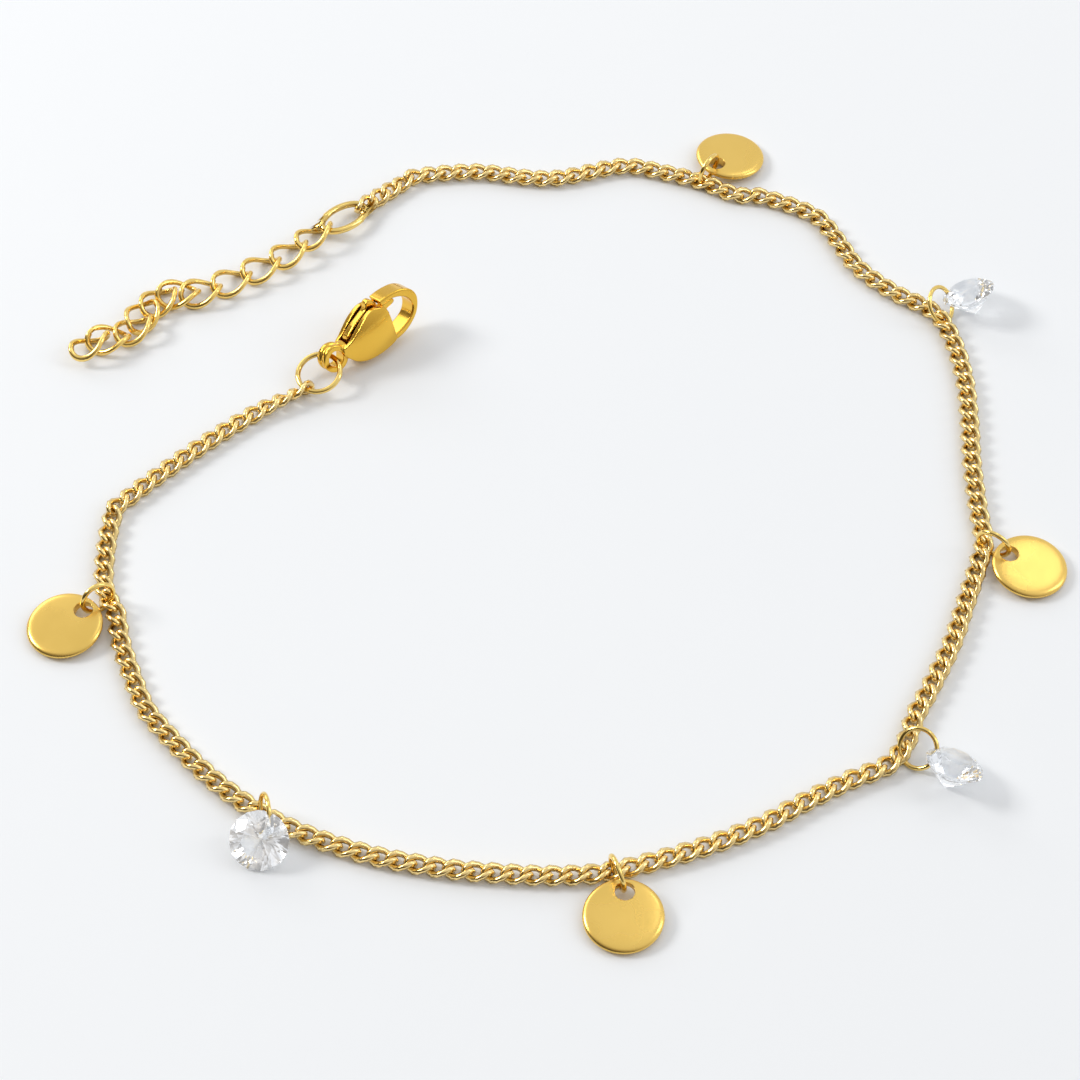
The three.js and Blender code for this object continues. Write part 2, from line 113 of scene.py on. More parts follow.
# Brings a piece from its own millimetres to its place in metres
def settle(piece, name, place, material, body, *nodes):
    choose(piece)
    piece.matrix_world = place @ Matrix.Scale(mm, 4)
    bpy.ops.object.transform_apply(location=True, rotation=True, scale=True)
    piece.name = name
    piece.data.name = name
    piece.data.materials.clear()
    piece.data.materials.append(material)
    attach(piece, body)
    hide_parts(*nodes)
    return piece


# Points along a smooth curve through the knots
def curveThrough(knots, stepsPerSpan):
    knots = [2 * knots[0] - knots[1]] + knots + [2 * knots[-1] - knots[-2]]
    points = []
    for a, b, c, d in zip(knots, knots[1:], knots[2:], knots[3:]):
        for i in range(stepsPerSpan):
            t = i / stepsPerSpan
            startPull = (c - a) / 2
            endPull = (d - b) / 2
            bend = 3 * (c - b) - 2 * startPull - endPull
            settleBack = 2 * (b - c) + startPull + endPull
            points.append(b + startPull * t + bend * t ** 2 + settleBack * t ** 3)
    points.append(knots[-2])
    return points


# A line drawn from point to point, left in edit mode with all of it selected
def drawnLine(points):
    clearSelection()
    bpy.ops.mesh.primitive_plane_add(size=starterSize)
    line = bpy.context.object
    editSelect(line, "VERT", lambda v: v.index > 0)
    bpy.ops.mesh.delete(type="VERT")
    bpy.ops.mesh.select_all(action="SELECT")
    bpy.ops.transform.translate(value=points[0] - line.data.vertices[0].co)
    for before, after in zip(points, points[1:]):
        bpy.ops.mesh.extrude_region_move(TRANSFORM_OT_translate={"value": after - before})
    bpy.ops.mesh.select_all(action="SELECT")
    return line


# Turns a profile around the x axis: each row is a place along the axis and a radius
def turned(profile, steps):
    piece = drawnLine([Vector((x, radius, 0)) for x, radius in profile])
    bpy.ops.mesh.spin(steps=steps, angle=2 * math.pi, center=(0, 0, 0), axis=(1, 0, 0))
    bpy.ops.mesh.select_all(action="SELECT")
    bpy.ops.mesh.remove_doubles(threshold=mergeWithin)
    bpy.ops.mesh.normals_make_consistent(inside=False)
    editDone()
    return piece


def basis(xWay, yWay, zWay, centre):
    turn = Matrix((xWay, yWay, zWay)).transposed().to_4x4()
    return Matrix.Translation(centre) @ turn


# Middle, long way, side way, thin way and mean offset of a CAD node, from its own corners
def nodeFrame(node):
    corners = numpy.array([tuple(v.co) for v in frame["nodes"][node].data.vertices])
    corners = numpy.unique(corners.round(6), axis=0)  # corners that share a micrometre count once
    ways = numpy.linalg.eigh(numpy.cov(corners.T))[1].T[::-1]
    along = corners @ ways.T
    middle = ((along.min(0) + along.max(0)) / 2) @ ways
    longWay = Vector(ways[0])
    thinWay = Vector(ways[2])
    if longWay.x < 0:
        longWay.negate()
    if thinWay.z < 0:
        thinWay.negate()
    return Vector(middle), longWay, thinWay.cross(longWay), thinWay, Vector(corners.mean(0) - middle)


# Materials

# A shader node with its settings, and with values on its inputs by name or number
def addNode(tree, kind, values=None, **settings):
    node = tree.nodes.new(kind)
    for key, value in settings.items():
        setattr(node, key, value)
    for socket, value in (values or {}).items():
        node.inputs[socket].default_value = value
    return node


def newMaterial(name, values):
    material = bpy.data.materials.new(name)
    material.use_nodes = True
    shader = material.node_tree.nodes["Principled BSDF"]
    for socket, value in values.items():
        shader.inputs[socket].default_value = value
    return material, material.node_tree, shader


def makeGroup(name, inputs, outputs):
    group = bpy.data.node_groups.new(name, "ShaderNodeTree")
    for label, kind, value in inputs:
        socket = group.interface.new_socket(label, in_out="INPUT", socket_type=kind)
        socket.default_value = value
    for label, kind in outputs:
        group.interface.new_socket(label, in_out="OUTPUT", socket_type=kind)
    return group, group.nodes.new("NodeGroupInput"), group.nodes.new("NodeGroupOutput")


# Polished metal: slow change of colour, cloudy roughness, hair scratches, a hand-worked surface, and painted
# shade that darkens the colour towards dark brown where a wire's inner side is marked
polish = {
    "cloudDetail": 3, "cloudRange": (0.3, 0.7),
    "scratchStretch": (1, 0.12, 1), "scratchTurn": 28, "scratchDetail": 4, "scratchRoughness": 0.7,
}


def makePolishGroup():
    group, start, end = makeGroup(
        "polishMarks",
        [
            ("Vector", "NodeSocketVector", (0, 0, 0)),
            ("Light Colour", "NodeSocketColor", (0.9, 0.7, 0.3, 1)),
            ("Deep Colour", "NodeSocketColor", (0.8, 0.55, 0.2, 1)),
            ("Smoothest", "NodeSocketFloat", 0.1),
            ("Roughest", "NodeSocketFloat", 0.25),
            ("Cloud Scale", "NodeSocketFloat", 400.0),
            ("Scratch Scale", "NodeSocketFloat", 2500.0),
            ("Scratch Depth", "NodeSocketFloat", 0.3),
            ("Painted Shade Colour", "NodeSocketColor", (0.3, 0.15, 0.04, 1)),
            ("Painted Shade Amount", "NodeSocketFloat", 0.0),
        ],
        [("Colour", "NodeSocketColor"), ("Roughness", "NodeSocketFloat"), ("Height", "NodeSocketFloat")],
    )
    links = group.links
    cloud = addNode(group, "ShaderNodeTexNoise", {"Detail": polish["cloudDetail"]})
    links.new(start.outputs["Vector"], cloud.inputs["Vector"])
    links.new(start.outputs["Cloud Scale"], cloud.inputs["Scale"])
    tint = addNode(group, "ShaderNodeMix", data_type="RGBA")
    links.new(cloud.outputs["Fac"], tint.inputs["Factor"])
    links.new(start.outputs["Deep Colour"], tint.inputs["A"])
    links.new(start.outputs["Light Colour"], tint.inputs["B"])
    turn = (0, 0, math.radians(polish["scratchTurn"]))
    stretch = addNode(group, "ShaderNodeMapping", {"Scale": polish["scratchStretch"], "Rotation": turn})
    links.new(start.outputs["Vector"], stretch.inputs["Vector"])
    grain = {"Detail": polish["scratchDetail"], "Roughness": polish["scratchRoughness"]}
    scratch = addNode(group, "ShaderNodeTexNoise", grain)
    links.new(stretch.outputs["Vector"], scratch.inputs["Vector"])
    links.new(start.outputs["Scratch Scale"], scratch.inputs["Scale"])
    low, high = polish["cloudRange"]
    cloudy = addNode(group, "ShaderNodeMapRange", {"From Min": low, "From Max": high})
    links.new(cloud.outputs["Fac"], cloudy.inputs["Value"])
    links.new(start.outputs["Smoothest"], cloudy.inputs["To Min"])
    links.new(start.outputs["Roughest"], cloudy.inputs["To Max"])
    depth = addNode(group, "ShaderNodeMath", operation="MULTIPLY")
    links.new(scratch.outputs["Fac"], depth.inputs[0])
    links.new(start.outputs["Scratch Depth"], depth.inputs[1])
    height = addNode(group, "ShaderNodeMath", operation="ADD")
    links.new(cloud.outputs["Fac"], height.inputs[0])
    links.new(depth.outputs["Value"], height.inputs[1])
    # painted shade: the colour turns towards a dark brown where the wire's inner side is marked
    shaded = addNode(group, "ShaderNodeMix", data_type="RGBA")
    links.new(start.outputs["Painted Shade Amount"], shaded.inputs["Factor"])
    links.new(tint.outputs["Result"], shaded.inputs["A"])
    links.new(start.outputs["Painted Shade Colour"], shaded.inputs["B"])
    links.new(shaded.outputs["Result"], end.inputs["Colour"])
    links.new(cloudy.outputs["Result"], end.inputs["Roughness"])
    links.new(height.outputs["Value"], end.inputs["Height"])
    return group


polishMarks = makePolishGroup()

# the last entry of each finish is how strongly shade is painted onto the wires' inner sides
metalFinishes = {
    "claspGold": {
        "light": (0.9, 0.56, 0.085, 1), "deep": (0.8, 0.465, 0.06, 1), "smoothest": 0.09, "roughest": 0.18,
        "cloud": 420, "scratch": 2600, "depth": 0.15, "bump": 0.000012, "paintedInnerShade": 0,
    },
    "ringGold": {
        "light": (0.96, 0.72, 0.25, 1), "deep": (0.90, 0.63, 0.18, 1), "smoothest": 0.08, "roughest": 0.17,
        "cloud": 500, "scratch": 2600, "depth": 0.15, "bump": 0.000012, "paintedInnerShade": 0.35,
    },
    "chainGold": {
        "light": (1.0, 0.78, 0.36, 1), "deep": (0.97, 0.71, 0.28, 1), "smoothest": 0.11, "roughest": 0.22,
        "cloud": 700, "scratch": 3500, "depth": 0.2, "bump": 0.00001, "paintedInnerShade": 0.4,
    },
    "extenderGold": {
        "light": (1.0, 0.74, 0.25, 1), "deep": (0.96, 0.66, 0.18, 1), "smoothest": 0.12, "roughest": 0.22,
        "cloud": 600, "scratch": 3000, "depth": 0.2, "bump": 0.00001, "paintedInnerShade": 0.35,
    },
    "satinGold": {
        "light": (0.94, 0.65, 0.18, 1), "deep": (0.88, 0.58, 0.135, 1), "smoothest": 0.22, "roughest": 0.33,
        "cloud": 260, "scratch": 5200, "depth": 0.5, "bump": 0.00001, "paintedInnerShade": 0,
    },
}


def makeMetal(name, finish):
    material, tree, shader = newMaterial(name, {"Metallic": 1})
    where = addNode(tree, "ShaderNodeTexCoord")
    values = {
        "Light Colour": finish["light"], "Deep Colour": finish["deep"],
        "Smoothest": finish["smoothest"], "Roughest": finish["roughest"],
        "Cloud Scale": finish["cloud"], "Scratch Scale": finish["scratch"], "Scratch Depth": finish["depth"],
    }
    marks = addNode(tree, "ShaderNodeGroup", values, node_tree=polishMarks)
    if finish["paintedInnerShade"]:  # wires carry an attribute that is high on their inner side, where shade is painted into the colour
        inner = addNode(tree, "ShaderNodeAttribute", attribute_name="paintedInnerShade")
        share = addNode(tree, "ShaderNodeMath", {1: finish["paintedInnerShade"]}, operation="MULTIPLY")
        tree.links.new(inner.outputs["Fac"], share.inputs[0])
        tree.links.new(share.outputs["Value"], marks.inputs["Painted Shade Amount"])
    bump = addNode(tree, "ShaderNodeBump", {"Distance": finish["bump"], "Strength": 1})
    tree.links.new(where.outputs["Object"], marks.inputs["Vector"])
    tree.links.new(marks.outputs["Colour"], shader.inputs["Base Color"])
    tree.links.new(marks.outputs["Roughness"], shader.inputs["Roughness"])
    tree.links.new(marks.outputs["Height"], bump.inputs["Height"])
    tree.links.new(bump.outputs["Normal"], shader.inputs["Normal"])
    return material


gold = {name: makeMetal(name, finish) for name, finish in metalFinishes.items()}

crystalFinish = {
    "ior": 1.62, "rough": (0.0, 0.012), "paintedGlow": 0.06, "cloud": 900, "patch": (0.38, 0.62),
    "tint": (1, 1, 1, 1), "shade": (0.80, 0.83, 0.87, 1),
}


# Clear glass with faintly clouded patches and a small painted glow, which lightens its darker facets
def makeCrystal():
    plain = {
        "Transmission Weight": 1, "IOR": crystalFinish["ior"], "Emission Strength": crystalFinish["paintedGlow"],
    }
    material, tree, shader = newMaterial("clearCrystal", plain)
    where = addNode(tree, "ShaderNodeTexCoord")
    cloud = addNode(tree, "ShaderNodeTexNoise", {"Scale": crystalFinish["cloud"]})
    tree.links.new(where.outputs["Object"], cloud.inputs["Vector"])
    low, high = crystalFinish["patch"]
    patch = addNode(tree, "ShaderNodeMapRange", {"From Min": low, "From Max": high})
    tree.links.new(cloud.outputs["Fac"], patch.inputs["Value"])
    colours = {"A": crystalFinish["shade"], "B": crystalFinish["tint"]}
    tint = addNode(tree, "ShaderNodeMix", colours, data_type="RGBA")
    tree.links.new(patch.outputs["Result"], tint.inputs["Factor"])
    tree.links.new(tint.outputs["Result"], shader.inputs["Base Color"])
    # the painted glow takes the patch colour
    tree.links.new(tint.outputs["Result"], shader.inputs["Emission Color"])
    low, high = crystalFinish["rough"]
    rough = addNode(tree, "ShaderNodeMapRange", {"To Min": low, "To Max": high})
    tree.links.new(cloud.outputs["Fac"], rough.inputs["Value"])
    tree.links.new(rough.outputs["Result"], shader.inputs["Roughness"])
    return material


clearCrystal = makeCrystal()

table = {
    "size": 3, "shade": (0.87, 0.895, 0.925, 1), "tint": (0.893, 0.915, 0.94, 1), "specular": 0.25,
    "rough": (0.5, 0.62), "cloud": 14, "cloudDetail": 3,
}


def makeTableTop():
    material, tree, shader = newMaterial("paleTable", {"Specular IOR Level": table["specular"]})
    where = addNode(tree, "ShaderNodeTexCoord")
    cloud = addNode(tree, "ShaderNodeTexNoise", {"Scale": table["cloud"], "Detail": table["cloudDetail"]})
    tree.links.new(where.outputs["Object"], cloud.inputs["Vector"])
    tint = addNode(tree, "ShaderNodeMix", {"A": table["shade"], "B": table["tint"]}, data_type="RGBA")
    tree.links.new(cloud.outputs["Fac"], tint.inputs["Factor"])
    tree.links.new(tint.outputs["Result"], shader.inputs["Base Color"])
    low, high = table["rough"]
    rough = addNode(tree, "ShaderNodeMapRange", {"To Min": low, "To Max": high})
    tree.links.new(cloud.outputs["Fac"], rough.inputs["Value"])
    tree.links.new(rough.outputs["Result"], shader.inputs["Roughness"])
    return material


print("materials done")


# Camera, lights and table

view = {
    "lookAt": (-0.00086, -0.00382, 0.0), "place": (-0.00086, -0.15302, 0.1876),
    "lens": 100, "sensor": 36, "nearest": 0.01,
}


def makeCamera():
    camera = bpy.data.cameras.new("camera")
    camera.lens = view["lens"]
    camera.sensor_width = view["sensor"]
    camera.sensor_fit = "HORIZONTAL"
    camera.clip_start = view["nearest"]
    item = bpy.data.objects.new("camera", camera)
    bpy.context.scene.collection.objects.link(item)
    item.location = view["place"]
    way = Vector(view["lookAt"]) - Vector(view["place"])
    item.rotation_euler = way.to_track_quat("-Z", "Y").to_euler()
    bpy.context.scene.camera = item


lights = {
    "keyLight": {"place": (-0.64, 0.17, 0.46), "size": (0.22, 0.22), "watts": 2.75, "tint": (1, 0.985, 0.96)},
    "sideLight": {"place": (0.4, 0.02, 0.3), "size": (0.08, 0.3), "watts": 0.3, "tint": (0.96, 0.98, 1)},
    "windowLight": {"place": (-0.295, 0.335, 0.205), "size": (0.24, 0.2), "watts": 0.34, "tint": (1, 1, 1)},
    "panelLight": {"place": (0.22, 0.3, 0.45), "size": (0.1, 0.1), "watts": 0.08, "tint": (1, 1, 1)},
    "upperLight": {"place": (0.125, 0.165, 0.5), "size": (0.08, 0.1), "watts": 0.03, "tint": (1, 1, 1)},
}
studioGlow = {  # steps: how far a direction turns towards the bright way, and how bright it is there
    "lowTint": (1.0, 0.82, 0.62), "highTint": (0.965, 0.98, 1.0),
    "brightWay": (0.5, 0.55, 0.67), "strength": 0.86,
    "steps": [(0.0, 0.04), (0.34, 0.1), (0.45, 0.32), (0.6, 0.66), (0.75, 0.92), (1.0, 1.0)],
}


def makeLights():
    for name, row in lights.items():
        light = bpy.data.lights.new(name, "AREA")
        light.shape = "RECTANGLE"
        light.size = row["size"][0]
        light.size_y = row["size"][1]
        light.energy = row["watts"]
        light.color = row["tint"]
        item = bpy.data.objects.new(name, light)
        bpy.context.scene.collection.objects.link(item)
        item.location = row["place"]
        item.rotation_euler = (-Vector(row["place"])).to_track_quat("-Z", "Y").to_euler()


def makeSurroundings():
    world = bpy.data.worlds.new("studio")
    bpy.context.scene.world = world
    world.use_nodes = True
    tree = world.node_tree
    where = addNode(tree, "ShaderNodeTexCoord")
    bright = {1: studioGlow["brightWay"]}
    facing = addNode(tree, "ShaderNodeVectorMath", bright, operation="DOT_PRODUCT")
    tree.links.new(where.outputs["Generated"], facing.inputs[0])
    glow = addNode(tree, "ShaderNodeValToRGB")
    steps = glow.color_ramp.elements
    while len(steps) < len(studioGlow["steps"]):
        steps.new(0.5)  # its own place comes next
    for step, (place, value) in zip(steps, studioGlow["steps"]):
        step.position = place
        tint = Vector(studioGlow["lowTint"]).lerp(Vector(studioGlow["highTint"]), value)
        step.color = [value * part for part in tint] + [1]
    half = addNode(tree, "ShaderNodeMath", {1: 0.5, 2: 0.5}, operation="MULTIPLY_ADD")  # -1..1 to 0..1
    tree.links.new(facing.outputs["Value"], half.inputs[0])
    tree.links.new(half.outputs["Value"], glow.inputs["Fac"])
    backdrop = tree.nodes["Background"]
    tree.links.new(glow.outputs["Color"], backdrop.inputs["Color"])
    backdrop.inputs["Strength"].default_value = studioGlow["strength"]


def makeTable():
    clearSelection()
    bpy.ops.mesh.primitive_plane_add(size=table["size"], location=(0, 0, 0))
    top = bpy.context.object
    top.name = "tableTop"
    top.data.materials.append(makeTableTop())


makeCamera()
makeLights()
makeSurroundings()
makeTable()
bpy.context.scene.view_settings.view_transform = "Standard"
print("camera, lights and table done")


# Round wire: a ring, an oval with straight sides, or a curb link that is turned between its ends

sectionFacing = 0.9999  # a point whose way from the middle agrees this well belongs to the section


# Each round section moves out as a whole, so the wire stays round
def stretchLoop(loop, reach, around):
    for step in range(around):
        angle = 2 * math.pi * step / around
        way = Vector((math.cos(angle), math.sin(angle), 0))
        editSelect(loop, "VERT", lambda v: v.co.to_2d().normalized().dot(way.to_2d()) > sectionFacing)
        bpy.ops.transform.translate(value=(way.x * reach, 0, 0))
        editDone()


def wireLoop(size):
    length, width, wire = size["length"], size["width"], size["wire"]
    clearSelection()
    bpy.ops.mesh.primitive_torus_add(
        major_radius=(width - wire) / 2, minor_radius=wire / 2,
        major_segments=size["around"], minor_segments=size["sides"],
    )
    loop = bpy.context.object
    paintedInnerShade = loop.data.attributes.new("paintedInnerShade", "FLOAT", "POINT")
    for v in loop.data.vertices:  # painted shade: the side that faces the loop's middle is marked to be painted darker, so it looks deeper
        paintedInnerShade.data[v.index].value = max(0, -v.normal.dot(Vector((v.co.x, v.co.y, 0)).normalized()))
    if length > width:
        stretchLoop(loop, (length - width) / 2, size["around"])
    if "twist" in size:  # measured from the wire's middle at one end to its middle at the other
        applyModifier(
            loop, "twist", "SIMPLE_DEFORM", deform_method="TWIST", deform_axis="X",
            angle=math.radians(size["twist"]) * length / (length - wire),
        )
    smoothAll(loop)
    return loop


def ringPlace(node):
    middle, longWay, sideWay, thinWay, _ = nodeFrame(node)
    return basis(longWay, sideWay, thinWay, middle)


# Main chain

chain = {
    "links": 147, "width": 1.75, "wire": 0.55, "slack": 0.03, "twist": -120, "around": 16, "sides": 6,
    "endRoll": -58, "rollFade": 3,  # the first and last links turn towards the rings that they hold
    "footprintMiddle": (-0.00004, -0.00028), "stepsPerSpan": 60,
    "route": [
        (-0.0207, 0.0111), (-0.0248, 0.0085), (-0.0290, 0.0049), (-0.0325, 0.0015), (-0.0340, -0.0001),
        (-0.0350, -0.0012), (-0.03525, -0.0027), (-0.0354, -0.0045), (-0.0354, -0.0075), (-0.0351, -0.0098),
        (-0.0341, -0.0118), (-0.0335, -0.0145), (-0.0325, -0.0174), (-0.0311, -0.0208), (-0.0294, -0.0231),
        (-0.0263, -0.0266), (-0.0230, -0.0295), (-0.0192, -0.0319), (-0.0138, -0.0340), (-0.0084, -0.0352),
        (-0.0040, -0.0357), (0.0001, -0.0359), (0.0040, -0.0356), (0.0083, -0.0344), (0.0122, -0.0330),
        (0.0160, -0.0312), (0.0184, -0.0297), (0.0221, -0.0276), (0.0246, -0.0265), (0.0258, -0.0256),
        (0.0267, -0.0242), (0.0277, -0.0215), (0.0289, -0.0192), (0.0310, -0.0148), (0.0324, -0.0109),
        (0.0338, -0.0069), (0.0344, -0.0047), (0.03425, -0.0009), (0.0342, 0.0035), (0.0344, 0.0080),
        (0.0344, 0.0125), (0.0338, 0.0168), (0.0325, 0.0201), (0.0291, 0.0226), (0.0263, 0.0255),
        (0.0247, 0.0288), (0.0229, 0.0317), (0.0186, 0.0339), (0.0162, 0.0342), (0.0132, 0.0358),
        (0.0101, 0.0369), (0.0064, 0.0377), (0.0010, 0.0363), (-0.0021, 0.0363), (-0.0065, 0.0370),
        (-0.0110, 0.0366), (-0.0125, 0.0360), (-0.0151, 0.0336), (-0.0161, 0.0327),
    ],
}


# Middle and way of each link, evenly spaced along the route, which is in metres
def linkPlaces():
    footprint = Vector(chain["footprintMiddle"])
    points = curveThrough([Vector(point) - footprint for point in chain["route"]], chain["stepsPerSpan"])
    runs = [0.0]
    for a, b in zip(points, points[1:]):
        runs.append(runs[-1] + (b - a).length)
    spacing = runs[-1] / (chain["links"] - 1)
    places = []
    here = 0
    for number in range(chain["links"]):
        run = min(number * spacing, runs[-1])
        while here < len(runs) - 2 and runs[here + 1] < run:
            here += 1
        share = (run - runs[here]) / (runs[here + 1] - runs[here])
        middle = points[here].lerp(points[here + 1], share)
        places.append((middle.to_3d(), (points[here + 1] - points[here]).normalized().to_3d()))
    return places, spacing / mm


def lowestPoint(piece, turn):
    return min((turn @ v.co).z for v in piece.data.vertices)


def makeChain():
    places, spacing = linkPlaces()
    first = wireLoop({**chain, "length": spacing + 2 * chain["wire"] + chain["slack"]})
    links = []
    last = chain["links"] - 1
    for number, (middle, way) in enumerate(places):
        fromStart = max(0, 1 - number / chain["rollFade"])
        fromEnd = max(0, 1 - (last - number) / chain["rollFade"])
        roll = Matrix.Rotation(math.radians(chain["endRoll"] * (fromEnd - fromStart)), 4, "X")
        middle.z = -lowestPoint(first, roll) * mm  # each link lies on the table
        place = basis(way, Vector((-way.y, way.x, 0)), Vector((0, 0, 1)), middle) @ roll
        link = copyOf(first)
        link.data.transform(Matrix.Scale(1 / mm, 4) @ place @ Matrix.Scale(mm, 4))
        links.append(link)
    bpy.data.objects.remove(first)
    whole = joinAll(links)
    settle(whole, "curb_chain", Matrix.Identity(4), gold["chainGold"], "anklet", "chain")


makeChain()
print("chain done")


# Discs and their jump rings

disc = {
    "hole": 1.5, "holeEdge": 0.03, "holeOffset": 1.87, "around": 96, "holeAround": 40, "rowsPerSpan": 3,
    "count": 4, "cutter": 3, "edgeSteps": 3, "edgeRound": 0.5, "edgeFrom": 60, "sharpFrom": 50,
    "half": [  # height over the middle, radius: the face is barely crowned and the rim is soft
        (0.375, 0.0), (0.372, 0.8), (0.362, 1.5), (0.345, 2.1), (0.318, 2.5), (0.27, 2.74),
        (0.19, 2.89), (0.09, 2.98), (0.0, 3.0),
    ],
}
discRing = {"length": 3.05, "width": 3.05, "wire": 0.4, "around": 44, "sides": 14}


def makeDisc():
    rows = curveThrough([Vector(row) for row in disc["half"]], disc["rowsPerSpan"])
    rows[0].y = 0  # the middle of the face stays on the axis
    rows = rows + [Vector((-row.x, row.y)) for row in rows[-2::-1]]
    piece = turned(rows, disc["around"])
    piece.data.transform(Matrix.Rotation(math.radians(-90), 4, "Y"))  # its axis now points up
    clearSelection()
    bpy.ops.mesh.primitive_cylinder_add(
        vertices=disc["holeAround"], radius=disc["hole"] / 2, depth=disc["cutter"],
        location=(disc["holeOffset"], 0, 0),
    )
    cut(piece, bpy.context.object)
    editSelect(piece, "EDGE", lambda e: False)
    bpy.ops.mesh.edges_select_sharp(sharpness=math.radians(disc["edgeFrom"]))
    bpy.ops.mesh.bevel(offset=disc["holeEdge"], segments=disc["edgeSteps"], profile=disc["edgeRound"])
    editDone()
    smoothAll(piece, disc["sharpFrom"])
    return piece


def discPlace(node):
    middle, _, _, thin, toHole = nodeFrame(node)
    holeWay = (toHole - thin * toHole.dot(thin)).normalized()
    return basis(holeWay, thin.cross(holeWay), thin, middle)


def makeDiscs():
    first = makeDisc()
    ring = wireLoop(discRing)
    for number in range(1, disc["count"] + 1):
        node = f"disc_{number}"
        name = f"round_disc_{number}"
        piece = settle(copyOf(first), name, discPlace(node), gold["satinGold"], "anklet", node)
        node = f"disc_ring_{number}"
        name = f"disc_jump_ring_{number}"
        piece = settle(copyOf(ring), name, ringPlace(node), gold["ringGold"], "anklet", node)
    bpy.data.objects.remove(first)
    bpy.data.objects.remove(ring)


makeDiscs()
print("discs done")


# Stones keep their CAD facets, with fine jump rings

stoneRing = {"count": 3, "length": 3.4, "width": 3.4, "wire": 0.36, "around": 44, "sides": 14}


def makeStones():
    ring = wireLoop(stoneRing)
    for number in range(1, stoneRing["count"] + 1):
        stone = frame["nodes"][f"stone_{number}"]
        stone.data.materials.clear()
        stone.data.materials.append(clearCrystal)
        node = f"stone_ring_{number}"
        name = f"stone_jump_ring_{number}"
        piece = settle(copyOf(ring), name, ringPlace(node), gold["ringGold"], "anklet", node)
    bpy.data.objects.remove(ring)


makeStones()
print("stones done")


# Clasp ring, joining ring and extender

claspRing = {"length": 4.05, "width": 4.05, "wire": 0.45, "around": 44, "sides": 14}
joiningRing = {"length": 5.0, "width": 3.1, "wire": 0.6, "around": 44, "sides": 14}
extender = {"links": 11, "length": 4, "width": 3, "wire": 0.5, "twist": -90, "around": 32, "sides": 12}


def makeExtender():
    ring = wireLoop(claspRing)
    piece = settle(ring, "clasp_jump_ring", ringPlace("clasp_ring"), gold["ringGold"], "anklet", "clasp_ring")
    ring = wireLoop(joiningRing)
    place = ringPlace("joining_ring")
    piece = settle(ring, "joining_oval_ring", place, gold["ringGold"], "anklet", "joining_ring")
    first = wireLoop(extender)
    for number in range(1, extender["links"] + 1):
        node = f"extender_link_{number:02d}"
        name = f"extender_curb_link_{number:02d}"
        piece = settle(copyOf(first), name, ringPlace(node), gold["extenderGold"], "anklet", node)
    bpy.data.objects.remove(first)


makeExtender()
print("extender done")


# Lobster clasp, drawn in its own plane: x from the eye to the nose, y from the back to the lever

clasp = {  # sizes in millimetres, outlines as shares of the nose's reach and of the half width
    "noseReach": 9.0, "halfWidth": 2.0, "thickness": 2.6, "hookWidth": 1.75, "hookEdge": 0.16,
    "heading": 42, "noseAngle": 8, "pivot": (0.24, 0.25),
    "eye": 2.4, "eyeHole": 1.4, "eyeThickness": 1.2, "eyeGroove": 0.24, "eyeCore": 2.08, "coreInset": 0.1,
    "lobeEdge": 0.12, "channel": 1.3, "lever": 0.7, "leverEdge": 0.1, "pinWall": 0.2,
    "pin": 0.5, "pinRoom": 0.08, "pinShare": 0.8, "eyeCutter": 3, "boreCutter": 2,
    "domeReach": (0.41, 1.95), "domeMiddle": 0.41, "domeAround": 72, "domeRings": 48,
    "eyeAround": 56, "barAround": 40, "collarAround": 36, "bodySteps": 5, "hookSteps": 6, "leverSteps": 3,
    "edgeSteps": 3, "edgeFrom": 50,
    "grain": 0.042, "leverGrain": 0.8, "polishStrength": 0.5, "polishRounds": 4,
    "bodyBack": [(0.1, -0.26), (0.16, -0.62), (0.26, -0.88), (0.4, -0.99), (0.56, -1), (0.62, -0.95)],
    "bodyTop": [
        (0.655, 0.4), (0.645, 0.66), (0.6, 0.82), (0.54, 0.96), (0.48, 0.98),
        (0.4, 0.87), (0.3, 0.64), (0.2, 0.38), (0.1, 0.22),
    ],
    "hookOuter": [
        (0.55, -1), (0.7, -0.98), (0.82, -0.8), (0.91, -0.52), (0.965, -0.16),
        (0.985, 0.2), (0.955, 0.58), (0.87, 0.88), (0.74, 1.02), (0.62, 1.03),
    ],
    "hookInner": [
        (0.625, 0.76), (0.7, 0.79), (0.78, 0.72), (0.86, 0.5), (0.905, 0.2),
        (0.905, -0.12), (0.86, -0.42), (0.79, -0.6), (0.68, -0.72), (0.56, -0.74),
    ],
    "leverOutline": [
        (0.2, 0.45), (0.18, 0.1), (0.22, -0.12), (0.27, -0.16), (0.33, -0.08), (0.42, 0.12), (0.55, 0.3),
        (0.68, 0.36), (0.76, 0.4), (0.785, 0.5), (0.765, 0.62), (0.7, 0.67), (0.62, 0.64), (0.6, 0.72),
        (0.597, 0.96), (0.58, 1.16), (0.55, 1.25), (0.51, 1.2), (0.48, 0.98), (0.4, 0.84), (0.3, 0.68),
    ],
    "channelOutline": [(0.15, 1.8), (0.15, -0.28), (0.33, -0.3), (0.56, -0.36), (0.7, -0.62), (0.7, 1.8)],
    "collar": [  # distance along the neck and radius, in millimetres
        (0.75, 0.0), (0.75, 0.8), (0.95, 0.84), (1.25, 0.78),
        (1.6, 0.8), (1.95, 0.9), (2.3, 0.95), (2.3, 0.0),
    ],
}


def claspPoint(x, y):
    return Vector((x * clasp["noseReach"], y * clasp["halfWidth"], 0))


def claspPoints(name):
    return [claspPoint(x, y) for x, y in clasp[name]]


